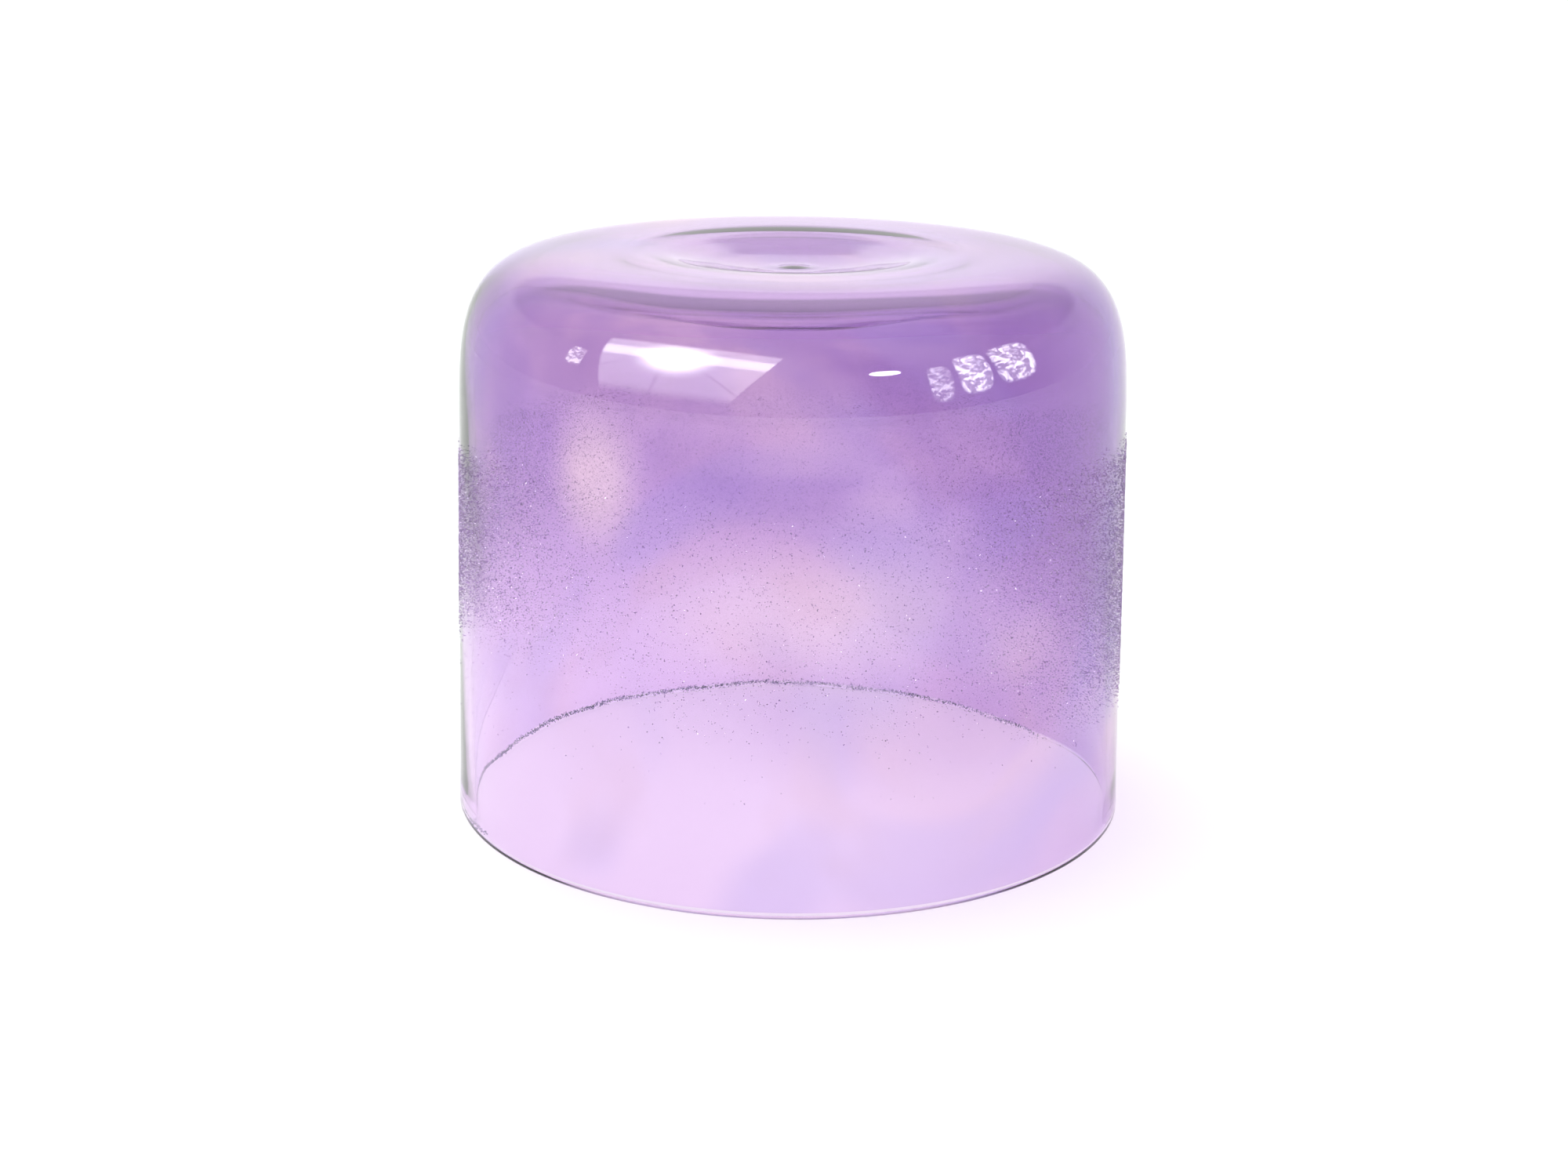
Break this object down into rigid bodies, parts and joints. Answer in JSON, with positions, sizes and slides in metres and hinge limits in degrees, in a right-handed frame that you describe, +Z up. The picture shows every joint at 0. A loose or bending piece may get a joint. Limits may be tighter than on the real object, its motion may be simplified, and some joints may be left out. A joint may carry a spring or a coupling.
{
  "type": "crystal singing bowl",
  "caption": "Violet-lined clear fused quartz singing bowl standing mouth down, with a dished crown, a round shoulder and a sanded band around its wall.",
  "frame": {"origin": "centre of the circle that the rim rests on", "axes": "+Z up from the rim through the centre of the crown; the bowl is a body of revolution about Z"},
  "size_m": [0.1999, 0.2, 0.1656],
  "materials": {
    "clear_quartz": "fire-polished",
    "violet_coat": "glossy thin coat",
    "quartz_grain": "coarse sintered grain"
  },
  "bodies": {
    "root": {"quartz_body": "clear_quartz", "violet_lining": "violet_coat", "grain_band": "quartz_grain", "rim_grit": "quartz_grain"}
  },
  "joints": []
}
